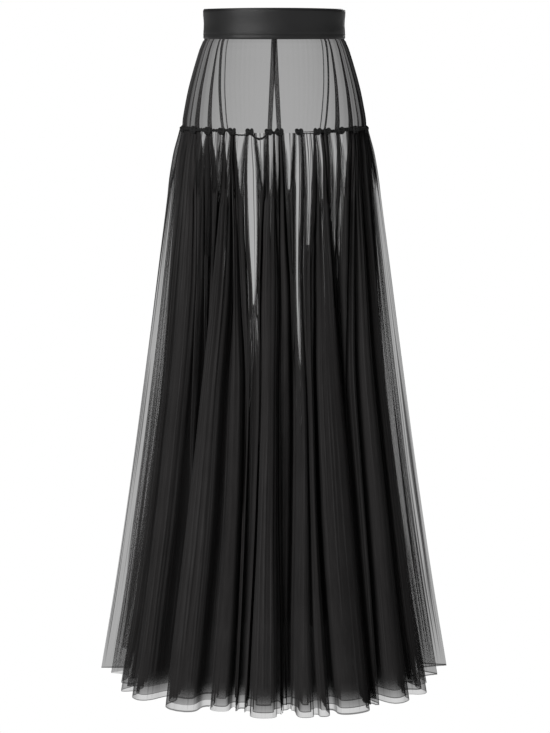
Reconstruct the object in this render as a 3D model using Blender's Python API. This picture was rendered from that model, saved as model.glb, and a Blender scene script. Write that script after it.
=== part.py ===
"""Floor-length tulle skirt, hollow and filled out as if worn.

A satin-faced elastic waistband, a sheer pleated yoke down to the hip, a knotted cord round the hip, and a
gathered skirt: one long outer layer over an under layer that is cut double and handled as one cloth.

Metres, +Z up. The front faces -Y and the wearer's left side is at +X. The origin is the centre of the waist
opening, at half the waistband's height. Angles are in degrees round the body: 0 is the centre front, 90 the
wearer's left side, 180 the centre back.
"""

import math
from collections import namedtuple

import bpy
from mathutils import Vector

# ---- Driving sizes ----------------------------------------------------------------------------------------

BAND_HALF_HEIGHT = 0.025
BAND_WALL = 0.002
TULLE_WALL = 0.0012
SEAM_GAP = 0.0003

HIP_Z = -0.1745
HEM_Z = -1.136
UNDER_HEM_Z = -1.117

CORD_HALF_HEIGHT = 0.0031
CORD_DEPTH_IN = 0.0042
CORD_DEPTH_OUT = 0.0020
KNOT_HALF_WIDTH = 0.0058
KNOT_HALF_HEIGHT = 0.0058
KNOT_CLEARANCE = 0.0024
KNOT_DEPTH_OUT = 0.0062

PLEAT_HEIGHT = 0.0012
PLEAT_HALF_WIDTH_AT_BAND = 0.0010
PLEAT_HALF_WIDTH_AT_HIP = 0.0036

BACK_DIP = 0.013
DIP_FADE = 0.250

YOKE_TOP_Z = -BAND_HALF_HEIGHT - SEAM_GAP
YOKE_BOTTOM_Z = HIP_Z + CORD_HALF_HEIGHT + SEAM_GAP
SKIRT_TOP_Z = HIP_Z - CORD_HALF_HEIGHT - SEAM_GAP

# The outline at each height: half its width, and how far it reaches in front of the middle and behind it.
# Below the hip it runs over the crests of the folds.
Section = namedtuple("Section", "z half_width front back")
OUTLINE = (
    Section(0.0250, 0.1194, 0.0846, 0.0886),
    Section(0.0195, 0.1208, 0.0860, 0.0900),
    Section(0.0000, 0.1196, 0.0850, 0.0890),
    Section(-0.0170, 0.1204, 0.0858, 0.0898),
    Section(-0.0250, 0.1202, 0.0856, 0.0898),
    Section(-0.0435, 0.1267, 0.0900, 0.0955),
    Section(-0.0772, 0.1373, 0.0985, 0.1060),
    Section(-0.1109, 0.1465, 0.1060, 0.1140),
    Section(-0.1448, 0.1535, 0.1110, 0.1195),
    Section(-0.1745, 0.1588, 0.1150, 0.1225),
    Section(-0.2214, 0.1713, 0.1260, 0.1330),
    Section(-0.3504, 0.1920, 0.1480, 0.1540),
    Section(-0.5427, 0.2190, 0.1790, 0.1820),
    Section(-0.7567, 0.2497, 0.2120, 0.2140),
    Section(-0.9754, 0.2837, 0.2470, 0.2480),
    Section(-1.1360, 0.3115, 0.2740, 0.2740),
)

# Where the knots stand on the front of the hip cord, from the wearer's right to the left.
FRONT_KNOTS = (
    -75.0, -57.5, -43.6, -33.0, -26.3, -15.0, -3.1,
    3.2, 15.0, 26.6, 33.0, 44.0, 58.0, 75.0,
)

# The valleys between the folds of the skirt's front, from the wearer's right to the left. Each hangs from a
# knot at the hip and has drifted by the middle of the skirt and by the hem. Depth is its share of the row's.
Valley = namedtuple("Valley", "hip middle hem depth")
FRONT_VALLEYS = (
    Valley(-84.0, -82.0, -82.0, 0.80),
    Valley(-76.0, -70.5, -70.0, 0.80),
    Valley(-70.0, -60.5, -61.0, 0.80),
    Valley(-62.0, -53.0, -53.5, 0.70),
    Valley(-55.0, -38.0, -39.0, 1.00),
    Valley(-33.0, -21.0, -22.0, 0.80),
    Valley(-26.3, -13.6, -13.5, 1.00),
    Valley(-3.6, -6.3, -8.7, 0.70),
    Valley(3.6, 6.1, 5.0, 1.00),
    Valley(26.3, 16.3, 16.0, 0.90),
    Valley(32.6, 31.5, 30.0, 1.00),
    Valley(43.0, 39.0, 35.5, 0.80),
    Valley(55.0, 51.0, 50.0, 0.80),
    Valley(62.0, 59.5, 60.0, 0.70),
    Valley(72.0, 69.0, 69.5, 0.80),
    Valley(84.0, 82.0, 82.0, 0.80),
)
MIDDLE_Z = -0.600

# The back repeats the front in a mirror, spread a little towards the side seams.
BACK_SPREAD = 0.08

# One fold from its valley to the next: how far round each column stands, and its share of the depth.
FOLD_SHAPE = ((0.0, 1.0), (0.24, 0.33), (0.5, 0.0), (0.76, 0.33))
CREST_COLUMN = 2

# At each row of the skirt: the depth of the folds, crest to valley, and how far inside the outer layer the
# under layer hangs.
FoldRow = namedtuple("FoldRow", "z depth under_inset")
FOLD_ROWS = (
    FoldRow(SKIRT_TOP_Z, 0.000, 0.0020),
    FoldRow(-0.2214, 0.009, 0.0065),
    FoldRow(-0.3504, 0.017, 0.0110),
    FoldRow(-0.5800, 0.025, 0.0135),
    FoldRow(-0.8400, 0.032, 0.0145),
    FoldRow(HEM_Z, 0.038, 0.0150),
)

# The pleats of the yoke's front: where each leaves the waistband, and the knot that it runs down to.
Pleat = namedtuple("Pleat", "band knot")
FRONT_PLEATS = (
    Pleat(-75.0, -75.0),
    Pleat(-61.5, -57.5),
    Pleat(-48.5, -43.6),
    Pleat(-45.5, -33.0),
    Pleat(-40.0, -26.3),
    Pleat(-0.8, -3.1),
    Pleat(0.8, 3.2),
    Pleat(40.0, 26.6),
    Pleat(45.5, 33.0),
    Pleat(48.5, 44.0),
    Pleat(61.7, 58.0),
    Pleat(75.0, 75.0),
)
YOKE_ROWS = (YOKE_TOP_Z, -0.0435, -0.0772, -0.1240, YOKE_BOTTOM_Z)
SIDE_SEAM = 90.0
PLAIN_STEP = 12.0

CORD_STEP = 11.0

BAND_COLUMNS = 48
BAND_ROWS = (BAND_HALF_HEIGHT, 0.0240, 0.0195, 0.0000, -0.0170, -BAND_HALF_HEIGHT)
BAND_EDGE_ROUNDING = 0.0006


# ---- The outline ------------------------------------------------------------------------------------------


def outline_at(z):
    """The outline's section at height z, between the two rows of the table round it."""
    for upper, lower in zip(OUTLINE, OUTLINE[1:]):
        if z >= lower.z:
            break
    share = (upper.z - z) / (upper.z - lower.z)
    return Section(*(high + (low - high) * share for high, low in zip(upper, lower)))


def ring_point(z, degrees, inset=0.0):
    """The point of the outline at an angle round the body, drawn in towards the middle by inset."""
    section = outline_at(z)
    turn = math.radians(degrees)
    depth = section.front if math.cos(turn) > 0.0 else section.back
    across = (section.half_width - inset) * math.sin(turn)
    return Vector((across, -(depth - inset) * math.cos(turn), z))


def behind(degrees):
    """The place on the back that answers to a place on the front."""
    return 180.0 - degrees * (1.0 + BACK_SPREAD * math.cos(math.radians(degrees)))


def hip_dip(degrees, share):
    """How far the hip line, and a share of it the cloth beside it, dips below level to clear the seat."""
    return BACK_DIP * share * max(0.0, -math.cos(math.radians(degrees))) ** 1.5


def degrees_of_length(z, degrees, length):
    """The angle that a length takes up along the outline, near a place on it."""
    section = outline_at(z)
    turn = math.radians(degrees)
    depth = section.front if math.cos(turn) > 0.0 else section.back
    return math.degrees(length / math.hypot(section.half_width * math.cos(turn), depth * math.sin(turn)))


def left_of(start, end):
    """The level unit vector that points to the left of the way from start to end."""
    along = end - start
    return Vector((-along.y, along.x, 0.0)).normalized()


def offset_ring(ring, distance):
    """A closed ring moved inwards by distance, measured square to each of its sides."""
    moved = []
    for index, point in enumerate(ring):
        before = left_of(ring[index - 1], point)
        after = left_of(point, ring[(index + 1) % len(ring)])
        middle = (before + after).normalized()
        moved.append(point + middle * (distance / middle.dot(before)))
    return moved


# ---- Meshes -----------------------------------------------------------------------------------------------


def split_quad(first, second, third, fourth):
    """Two triangles for one square, cut from its first corner to its third."""
    return [(first, second, third), (first, third, fourth)]


def hoop_faces(loops, count):
    """Triangles over a ring of equal closed section loops."""
    faces = []
    for loop in range(loops):
        following = (loop + 1) % loops
        for index in range(count):
            after = (index + 1) % count
            corners = ((loop, index), (loop, after), (following, after), (following, index))
            faces += split_quad(*(column * count + row for column, row in corners))
    return faces


def wall_faces(columns, rows):
    """Triangles of a thin wall over a grid: the outer face, the inner one behind it, and the edges between.

    Both faces are cut along the same diagonals, so that one wall nests inside another without touching.
    """
    inner = columns * rows
    faces = []
    for column in range(columns - 1):
        for row in range(rows - 1):
            corners = ((column, row), (column, row + 1), (column + 1, row + 1), (column + 1, row))
            faces += split_quad(*(along * rows + down for along, down in corners))
    faces += [tuple(inner + index for index in reversed(face)) for face in faces]
    edge = list(range(rows - 1))
    edge += [column * rows + rows - 1 for column in range(columns - 1)]
    edge += [(columns - 1) * rows + row for row in range(rows - 1, 0, -1)]
    edge += [column * rows for column in range(columns - 1, 0, -1)]
    for index, start in enumerate(edge):
        end = edge[(index + 1) % len(edge)]
        faces += split_quad(end, start, start + inner, end + inner)
    return faces


def add_object(name, points, faces, material):
    """One named closed solid."""
    mesh = bpy.data.meshes.new(name)
    mesh.from_pydata([tuple(point) for point in points], [], faces)
    mesh.materials.append(material)
    mesh.shade_smooth()
    mesh.set_sharp_from_angle(angle=math.radians(40.0))
    solid = bpy.data.objects.new(name, mesh)
    bpy.context.scene.collection.objects.link(solid)
    return solid


def add_hoop(name, loops, material):
    """A solid all the way round, through one closed section loop at each column."""
    points = [point for loop in loops for point in loop]
    return add_object(name, points, hoop_faces(len(loops), len(loops[0])), material)


def seam_shift(ring, columns, position):
    """How far a column moves along its ring: half the seam gap at a panel's two ends, nothing between."""
    if 0 < position < len(columns) - 1:
        return Vector((0.0, 0.0, 0.0))
    column = columns[position]
    along = (ring[(column + 1) % len(ring)] - ring[column - 1]).normalized()
    inwards = 1.0 if position == 0 else -1.0
    return along * (inwards * SEAM_GAP / 2.0)


def add_panel(name, outer_rings, columns, material):
    """A wall of tulle over some of the columns of a stack of rings, with half a seam gap left at each end."""
    inner_rings = [offset_ring(ring, TULLE_WALL) for ring in outer_rings]
    points = []
    for rings in (outer_rings, inner_rings):
        for position, column in enumerate(columns):
            for outer, ring in zip(outer_rings, rings):
                points.append(ring[column] + seam_shift(outer, columns, position))
    return add_object(name, points, wall_faces(len(columns), len(outer_rings)), material)


# ---- Materials --------------------------------------------------------------------------------------------


def add_material(name, color, roughness):
    """A plain cloth finish."""
    material = bpy.data.materials.new(name)
    material.use_nodes = True
    shader = material.node_tree.nodes["Principled BSDF"]
    shader.inputs["Base Color"].default_value = (*color, 1.0)
    shader.inputs["Roughness"].default_value = roughness
    shader.inputs["Metallic"].default_value = 0.0
    return material


# ---- The pieces -------------------------------------------------------------------------------------------


def build_waistband(material):
    """The satin-faced elastic band, one closed ring with slightly rounded edges."""
    loops = []
    for column in range(BAND_COLUMNS):
        degrees = 360.0 * column / BAND_COLUMNS
        loop = []
        for z in BAND_ROWS:
            loop.append(ring_point(z, degrees))
        for z in (-BAND_HALF_HEIGHT, 0.0, BAND_HALF_HEIGHT - BAND_EDGE_ROUNDING):
            loop.append(ring_point(z, degrees, BAND_WALL))
        loops.append(loop)
    return add_hoop("waistband", loops, material)


def pleat_columns(pleats, share):
    """The columns of a pleated yoke half as (degrees, height) pairs, at a share of the way down."""
    columns = []
    for pleat in pleats:
        degrees = pleat.band + (pleat.knot - pleat.band) * share
        half_width = PLEAT_HALF_WIDTH_AT_BAND + (PLEAT_HALF_WIDTH_AT_HIP - PLEAT_HALF_WIDTH_AT_BAND) * share
        z = YOKE_TOP_Z + (YOKE_BOTTOM_Z - YOKE_TOP_Z) * share
        half_angle = degrees_of_length(z, degrees, half_width)
        columns += [(degrees - half_angle, 0.0), (degrees, PLEAT_HEIGHT), (degrees + half_angle, 0.0)]
    return columns


def plain_columns(pleats, share):
    """Extra columns on the smooth stretches between pleats that are far apart at the hip."""
    columns = []
    for this, following in zip(pleats, pleats[1:]):
        extra = int((following.knot - this.knot) / PLAIN_STEP)
        for step in range(1, extra + 1):
            band = this.band + (following.band - this.band) * step / (extra + 1)
            knot = this.knot + (following.knot - this.knot) * step / (extra + 1)
            columns.append((band + (knot - band) * share, 0.0))
    return columns


def build_yoke(material):
    """The front and back of the yoke, sheer cloth with its pleats as low ridges, seamed at the sides."""
    back_pleats = [Pleat(behind(pleat.band), behind(pleat.knot)) for pleat in reversed(FRONT_PLEATS)]
    rings = []
    for z in YOKE_ROWS:
        share = (YOKE_TOP_Z - z) / (YOKE_TOP_Z - YOKE_BOTTOM_Z)
        half_rings = []
        for pleats in (FRONT_PLEATS, back_pleats):
            half_rings.append(sorted(pleat_columns(pleats, share) + plain_columns(pleats, share)))
        front, back = half_rings
        columns = [(-SIDE_SEAM, 0.0)] + front + [(SIDE_SEAM, 0.0)] + back
        rings.append(
            [ring_point(z - hip_dip(degrees, share**2), degrees, -height) for degrees, height in columns]
        )
    right_seam = 0
    left_seam = len(front) + 1
    end = len(rings[0])
    add_panel("yoke_front", rings, list(range(right_seam, left_seam + 1)), material)
    add_panel("yoke_back", rings, list(range(left_seam, end)) + [right_seam], material)


def cord_section(knotted):
    """The cord's section as (outwards, upwards) points, plain between the knots and swollen at each."""
    inner = -CORD_DEPTH_IN
    if knotted:
        lobe = (
            (KNOT_CLEARANCE, KNOT_HALF_HEIGHT),
            (KNOT_DEPTH_OUT, KNOT_HALF_HEIGHT * 0.5),
        )
    else:
        lobe = (
            (KNOT_CLEARANCE * 0.6, CORD_HALF_HEIGHT * 0.9),
            (CORD_DEPTH_OUT, CORD_HALF_HEIGHT * 0.5),
        )
    upper = [(inner, CORD_HALF_HEIGHT), (KNOT_CLEARANCE * 0.5, CORD_HALF_HEIGHT), *lobe]
    return upper + [(outwards, -upwards) for outwards, upwards in reversed(upper)]


def plain_between(start, end):
    """Angles that share out the stretch between two places in equal steps of no more than CORD_STEP."""
    steps = math.ceil((end - start) / CORD_STEP)
    return [start + (end - start) * step / steps for step in range(1, steps)]


def build_hip_cord(material):
    """The cord round the hip, between the yoke and the skirt, swollen at each knot."""
    knots = FRONT_KNOTS + tuple(behind(knot) for knot in reversed(FRONT_KNOTS))
    columns = []
    for knot, following in zip(knots, knots[1:] + (knots[0] + 360.0,)):
        half_angle = degrees_of_length(HIP_Z, knot, KNOT_HALF_WIDTH)
        columns += [(knot - half_angle, False), (knot, True), (knot + half_angle, False)]
        plain_end = following - degrees_of_length(HIP_Z, following, KNOT_HALF_WIDTH)
        columns += [(degrees, False) for degrees in plain_between(knot + half_angle, plain_end)]
    base = [ring_point(HIP_Z - hip_dip(degrees, 1.0), degrees) for degrees, _ in columns]
    loops = []
    for column, (_, knotted) in enumerate(columns):
        outward = -left_of(base[column - 1], base[(column + 1) % len(base)])
        loop = []
        for outwards, upwards in cord_section(knotted):
            loop.append(base[column] + outward * outwards + Vector((0.0, 0.0, upwards)))
        loops.append(loop)
    return add_hoop("hip_cord", loops, material)


def valley_degrees(valley, z):
    """Where a valley stands at height z, between its places at the hip, the middle and the hem."""
    if z > MIDDLE_Z:
        share = (SKIRT_TOP_Z - z) / (SKIRT_TOP_Z - MIDDLE_Z)
        return valley.hip + (valley.middle - valley.hip) * share
    share = (MIDDLE_Z - z) / (MIDDLE_Z - HEM_Z)
    return valley.middle + (valley.hem - valley.middle) * share


def fold_ring(valleys, row, inset, hem_z):
    """A skirt layer's outer face at one row, over its folds, drawn in by inset and cut off at its own hem."""
    z = max(row.z, hem_z)
    places = [valley_degrees(valley, z) for valley in valleys]
    ring = []
    for index, (start, end) in enumerate(zip(places, places[1:] + [places[0] + 360.0])):
        for way_round, depth_share in FOLD_SHAPE:
            degrees = start + (end - start) * way_round
            dip = hip_dip(degrees, max(0.0, 1.0 - (SKIRT_TOP_Z - z) / DIP_FADE))
            nearest = valleys[index if way_round <= 0.5 else (index + 1) % len(valleys)]
            ring.append(ring_point(z - dip, degrees, inset + row.depth * depth_share * nearest.depth))
    return ring


def build_skirt(outer_material, under_material):
    """The outer and the under layer, each a front and a back seamed on the crests at the sides."""
    back_valleys = []
    for valley in reversed(FRONT_VALLEYS):
        back_valleys.append(Valley(behind(valley.hip), behind(valley.middle), behind(valley.hem), valley.depth))
    valleys = list(FRONT_VALLEYS) + back_valleys
    per_fold = len(FOLD_SHAPE)
    total = per_fold * len(valleys)
    left_seam = per_fold * (len(FRONT_VALLEYS) - 1) + CREST_COLUMN
    right_seam = total - per_fold + CREST_COLUMN
    front = list(range(right_seam, total)) + list(range(left_seam + 1))
    back = list(range(left_seam, right_seam + 1))
    outer_rings = [fold_ring(valleys, row, 0.0, HEM_Z) for row in FOLD_ROWS]
    under_rings = [fold_ring(valleys, row, row.under_inset, UNDER_HEM_Z) for row in FOLD_ROWS]
    add_panel("skirt_outer_front", outer_rings, front, outer_material)
    add_panel("skirt_outer_back", outer_rings, back, outer_material)
    add_panel("skirt_under_front", under_rings, front, under_material)
    add_panel("skirt_under_back", under_rings, back, under_material)


def main():
    for leftover in list(bpy.data.objects):
        bpy.data.objects.remove(leftover)
    satin = add_material("satin", (0.012, 0.012, 0.013), 0.38)
    tulle = add_material("tulle", (0.030, 0.029, 0.029), 0.85)
    under_tulle = add_material("under_tulle", (0.022, 0.021, 0.021), 0.85)
    cord = add_material("cord", (0.010, 0.010, 0.010), 0.80)
    build_waistband(satin)
    build_yoke(tulle)
    build_hip_cord(cord)
    build_skirt(tulle, under_tulle)


main()
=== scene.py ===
"""Looks of the floor-length tulle skirt: gathered tulle, sheer pleated yoke, knotted hip cord, satin band.

Metres, +Z up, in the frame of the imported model. The front faces -Y and the wearer's left side is at +X. The
origin is the centre of the waist opening, at half the waistband's height. Angles are in degrees round the
body: 0 is the centre front, 90 the wearer's left side, 180 the centre back.
"""

import math
from collections import namedtuple

import bpy
import numpy as np
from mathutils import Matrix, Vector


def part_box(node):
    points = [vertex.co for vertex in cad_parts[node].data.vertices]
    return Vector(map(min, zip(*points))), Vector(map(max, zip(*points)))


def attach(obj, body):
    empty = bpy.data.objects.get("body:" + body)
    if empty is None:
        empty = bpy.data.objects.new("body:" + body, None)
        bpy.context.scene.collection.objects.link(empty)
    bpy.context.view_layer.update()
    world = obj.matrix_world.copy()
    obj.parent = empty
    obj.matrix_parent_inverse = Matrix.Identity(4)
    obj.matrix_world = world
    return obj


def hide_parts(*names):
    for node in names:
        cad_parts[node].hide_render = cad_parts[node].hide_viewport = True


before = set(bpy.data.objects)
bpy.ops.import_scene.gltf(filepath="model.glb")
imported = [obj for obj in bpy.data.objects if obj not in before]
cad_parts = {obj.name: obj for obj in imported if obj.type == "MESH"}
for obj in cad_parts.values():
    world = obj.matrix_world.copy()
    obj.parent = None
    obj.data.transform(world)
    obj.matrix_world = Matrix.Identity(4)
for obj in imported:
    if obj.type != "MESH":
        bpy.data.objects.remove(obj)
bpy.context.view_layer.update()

# ---- Sizes shared with the solids ----

BAND_LOW, BAND_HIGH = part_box("waistband")
BAND_HALF_HEIGHT = (BAND_HIGH[2] - BAND_LOW[2]) / 2.0
SEAM_GAP = 0.0003
HIP_Z = -0.1745
CORD_HALF_HEIGHT = 0.0031
YOKE_TOP_Z = -BAND_HALF_HEIGHT + 0.0015
SKIRT_TOP_Z = HIP_Z - CORD_HALF_HEIGHT - SEAM_GAP
YOKE_BOTTOM_Z = SKIRT_TOP_Z
HEM_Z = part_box("skirt_outer_front")[0][2]

# The hip line dips by BACK_DIP at the centre back, and the skirt levels out over DIP_FADE below it. Next to
# the centre back, folds, pleats and knots stand this share further apart than at the front.
BACK_DIP = 0.013
DIP_FADE = 0.250
BACK_SPREAD = 0.08

# The outline at each height: half its width, and how far it reaches in front of the middle and behind it.
Section = namedtuple("Section", "z half_width front back")
OUTLINE = [Section(*row) for row in (
    (0.0250, 0.1194, 0.0846, 0.0886),
    (0.0195, 0.1208, 0.0860, 0.0900),
    (0.0000, 0.1196, 0.0850, 0.0890),
    (-0.0170, 0.1204, 0.0858, 0.0898),
    (-0.0250, 0.1202, 0.0856, 0.0898),
    (-0.0435, 0.1267, 0.0900, 0.0955),
    (-0.0772, 0.1373, 0.0985, 0.1060),
    (-0.1109, 0.1465, 0.1060, 0.1140),
    (-0.1448, 0.1535, 0.1110, 0.1195),
    (-0.1745, 0.1588, 0.1150, 0.1225),
    (-0.2214, 0.1713, 0.1260, 0.1330),
    (-0.3504, 0.1920, 0.1480, 0.1540),
    (-0.5427, 0.2190, 0.1790, 0.1820),
    (-0.7567, 0.2497, 0.2120, 0.2140),
    (-0.9754, 0.2837, 0.2470, 0.2480),
    (-1.1360, 0.3115, 0.2740, 0.2740),
)]

# ---- The folds of the skirt ----

# Each row is one valley of the skirt's front, where it stands at TRACK_HEIGHTS, and the fold between it and
# the next valley, from the wearer's right to the left. recess sets the fold's crest back at RECESS_HEIGHTS,
# as a share of DEPTHS, and depth is the valley's own share of DEPTHS. A fold that is tied to two knots opens
# below the cord: opening_end is the height where its two sides meet, opening_place is where it lies across
# the fold, and a large opening_curve keeps it long and narrow.
TRACK_HEIGHTS = (-0.178, -0.25, -0.35, -0.45, -0.60, -0.80, -1.00, -1.136)
RECESS_HEIGHTS = (-0.20, -0.40, -0.65, -0.90, -1.136)
Fold = namedtuple(
    "Fold", "valley recess depth opening_end opening_place opening_curve", defaults=(None, 0.5, 1.0)
)
FRONT_FOLDS = [Fold(*row) for row in (
    ((-76.5, -82.0, -84.0, -85.0, -85.5, -85.5, -85.5, -85.5), (0.3, 0.35, 0.35, 0.35, 0.35), 1.1),
    ((-75.0, -74.0, -73.5, -73.0, -73.0, -73.0, -73.0, -73.0), (0, 0.3, 0.55, 0.55, 0.5), 0.9),
    ((-73.5, -68.0, -64.0, -62.0, -60.5, -60.0, -60.5, -61.0), (0, 0, 0.1, 0.1, 0.1), 0.8),
    ((-59.0, -57.5, -56.0, -54.8, -53.6, -53.5, -53.2, -53.5), (0, 0, 0, 0, 0), 0.6),
    ((-55.8, -49.0, -43.0, -39.8, -39.0, -39.0, -40.0, -39.8), (0, 0, 0.4, 1, 1), 1.15, -0.235, 0.4),
    ((-44.8, -42.0, -38.5, -36.2, -36.0, -37.6, -39.0, -39.2), (0, 0.3, 1, 1, 1), 1.0, -0.335, 0.6),
    ((-43.6, -37.2, -34.3, -33.4, -34.6, -37.0, -38.4, -38.6), (0, 0.4, 1, 1, 1), 1.15, -0.225, 0.6),
    ((-32.8, -30.3, -31.0, -32.2, -34.0, -36.2, -37.7, -38.0), (0, 0, 0, 0, 0), 1.1, -0.24),
    ((-27.0, -23.6, -21.4, -20.4, -21.0, -20.6, -21.4, -21.8), (0.3, 0.4, 0.5, 0.5, 0.4), 0.9),
    ((-25.4, -22.4, -19.6, -17.6, -14.2, -13.4, -13.6, -13.8), (0, 0.5, 0.9, 1, 1), 1.0, -0.232),
    ((-17.0, -17.0, -15.6, -13.4, -12.4, -12.6, -12.9, -13.2), (0, 0.4, 0.9, 1, 1), 0.7, -0.42, 0.6, 2.6),
    ((-12.0, -8.4, -7.6, -7.9, -7.1, -7.9, -9.2, -9.9), (0, 0.4, 0.7, 0.7, 0.7), 0.6, -0.225),
    ((-4.4, -4.8, -6.8, -7.3, -6.4, -7.4, -8.8, -9.5), (0, 0, 0, 0, 0), 0.7, -0.235, 0.6),
    ((0.0, 0.6, 1.6, 2.4, 1.6, 1.6, 2.2, 2.4), (0, 0.5, 0.8, 0.9, 1), 0.5, -0.265),
    ((2.8, 3.2, 2.6, 2.9, 2.0, 2.0, 2.6, 2.8), (0.2, 0.3, 0.7, 0.8, 0.9), 0.6),
    ((4.4, 5.2, 7.0, 8.6, 9.0, 7.9, 6.2, 5.6), (0, 0.4, 1, 1, 1), 1.0, -0.235, 0.6),
    ((12.4, 10.8, 10.2, 9.8, 10.0, 8.7, 7.0, 6.2), (0, 0.2, 0, 0, 0), 0.8, -0.54, 0.45, 3.4),
    ((16.8, 16.2, 14.2, 13.2, 13.8, 13.4, 12.9, 13.2), (0, 0.2, 0, 0, 0), 0.3, -0.33, 0.6, 1.4),
    ((25.3, 22.8, 20.8, 19.2, 16.8, 16.2, 17.0, 17.6), (0, 0, 0, 0, 0), 0.7, -0.24, 0.6),
    ((31.0, 29.7, 29.0, 29.3, 30.2, 31.2, 31.2, 31.4), (0.3, 0.7, 0.9, 1, 1), 0.55),
    ((33.8, 31.9, 30.6, 30.8, 31.0, 31.7, 31.7, 31.9), (0, 0.7, 0.9, 1, 1), 0.55, -0.34, 0.6, 1.6),
    ((43.2, 39.4, 35.8, 33.2, 31.8, 32.2, 32.3, 32.5), (0, 0.1, 0.6, 1, 1), 0.6, -0.235, 0.4),
    ((55.6, 48.0, 41.5, 37.2, 33.4, 33.0, 32.8, 32.9), (0, 0.2, 0.3, 0.3, 0.4), 0.65),
    ((57.6, 50.2, 45.5, 42.6, 39.6, 38.2, 36.6, 35.6), (0, 0, 0, 0, 0), 1.1),
    ((60.0, 55.8, 53.6, 51.4, 49.6, 49.6, 48.7, 49.0), (0, 0, 0, 0, 0), 0.45),
    ((73.6, 65.0, 61.0, 59.0, 57.6, 58.0, 59.0, 60.0), (0, 0.3, 0.55, 0.55, 0.5), 0.7),
    ((75.2, 74.0, 72.5, 72.0, 72.0, 72.0, 72.0, 72.0), (0.3, 0.35, 0.35, 0.35, 0.35), 0.9),
    ((76.7, 81.5, 84.0, 85.0, 85.5, 85.5, 85.5, 85.5), (0, 0, 0, 0, 0), 1.1),
)]

# The back's folds are the front's mirrored, drawn out down the skirt by BACK_DROP, and turned round by
# BACK_TURN degrees at BACK_TURN_HEIGHTS. Those that hang beyond BACK_SIDE degrees have their own recess.
BACK_DROP = 1.10
BACK_SIDE = 70.0
BACK_SIDE_RECESS = (0.9, 0.9, 0.9, 0.9, 0.9)
BACK_TURN_HEIGHTS = (-0.178, -0.60, -0.75, -1.136)
BACK_TURN = (0.0, 0.0, 2.5, 5.0)

# The depth of the folds, crest to valley, at each height.
DEPTH_HEIGHTS = (-0.178, -0.2214, -0.3504, -0.580, -0.840, -1.136)
DEPTHS = (0.001, 0.010, 0.024, 0.036, 0.044, 0.048)

# A fold has its full form once it is this deep. Above that its cloth is drawn to its valleys, more so with a
# larger GATHER_POWER.
FORMED_DEPTH = 0.018
GATHER_POWER = 1.9

# How far a deep valley at the sides stands back from the dark line that it shows as, in degrees.
VALLEY_TURN = 3.4

# The form of one fold across: how much of it the crest takes, and how far its walls lean over the valleys.
CREST_SHARE = 0.72
WALL_LEAN = 1.05

# A bunch under a knot takes this width on either side of an opening, or this share of a narrow fold.
BUNCH_HALF_WIDTH = 0.0042
BUNCH_SHARE = 0.23

# A fold has CLOTH_EASE times the cloth of its longest row. What a row has to spare lies in small pleats of
# PLEAT_CLOTH each, which wander and are uneven. The mesh has a column for every COLUMN_CLOTH, and a set
# number of them at a fold's middle.
CLOTH_EASE = 1.02
PLEAT_CLOTH = 0.017
MAX_PLEAT_HEIGHT = 0.0042
PLEAT_WANDER = 0.06
PLEAT_UNEVEN = 0.35
COLUMN_CLOTH = 0.0031
SLIT_COLUMNS, OPEN_COLUMNS, FAN_COLUMNS = 2, 12, 48

# Beside an opening that narrows to a point the gathered cloth spreads out: its pleats are no steeper than
# MARGIN_SLOPE (times opening_curve) at the opening's edge and about CORE_SLOPE under the knots, down to
# MARGIN_REACH below the point.
MARGIN_SLOPE = 2.8
CORE_SLOPE = 7.0
MARGIN_POWER = 2.6
MARGIN_REACH = 0.16

# How much of the small pleats is left at each height, below the gathers.
SETTLE_HEIGHTS = (-0.178, -0.26, -0.40, -0.60, -1.136)
SETTLED = (1.0, 0.95, 0.80, 0.50, 0.25)

# The rows of a skirt piece crowd together towards the cord. Its hem is uneven by HEM_UNEVEN, and its cloth
# lies CLOTH_CLEARANCE inside the outline.
SKIRT_ROWS = 72
ROW_CROWDING = 1.7
HEM_UNEVEN = 0.0015
CLOTH_CLEARANCE = 0.0015

# One layer of tulle: how far it hangs inside the outer one at the top and at the hem, and how much more at
# the sides, at SIDE_HEIGHTS (a larger SIDE_POWER keeps that nearer to the sides); its hem; how much wider,
# lower and rounder its openings are, and whether they are slits; how much of a fold's cloth either side of
# its middle crosses the opening; and how much either side of the side seams is thin.
SIDE_HEIGHTS = (-0.178, -0.22, -0.45, -0.70, -1.136)
SIDE_POWER = 20
Layer = namedtuple(
    "Layer", "name inset_top inset_hem side_insets hem_z wider lower roundness slit crossing side_span seed"
)
OUTER = Layer(
    "outer", inset_top=0.0, inset_hem=0.0, side_insets=(0, 0, 0, 0, 0),
    hem_z=HEM_Z, wider=0.0, lower=0.05, roundness=1.0, slit=False, crossing=0.15, side_span=0.0, seed=1
)
UNDER_A = Layer(
    "under_a", inset_top=0.0020, inset_hem=0.0045, side_insets=(0, 0.021, 0.034, 0.056, 0.100),
    hem_z=HEM_Z + 0.008, wider=0.02, lower=0.03, roundness=1.3, slit=True, crossing=0.02,
    side_span=0.25, seed=2
)
UNDER_B = UNDER_A._replace(
    name="under_b", inset_top=0.0040, inset_hem=0.0095, side_insets=(0, 0.028, 0.045, 0.075, 0.125),
    hem_z=HEM_Z + 0.019, wider=0.05, lower=0.04, roundness=1.4, side_span=0.06, seed=3
)

# The under layers thin out over THIN_CLOTH of cloth beside an opening, in about STREAKS streaks a fold. A
# metre below it counts as BELOW_SHARE beside it, a side seam counts as SIDE_THIN away, and what lies across
# an opening as CLOSED, which is too far away to thin.
THIN_CLOTH = 0.110
STREAKS = 46.0
BELOW_SHARE = 0.3
CLOSED = 1.0
SIDE_THIN = 0.016

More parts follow.
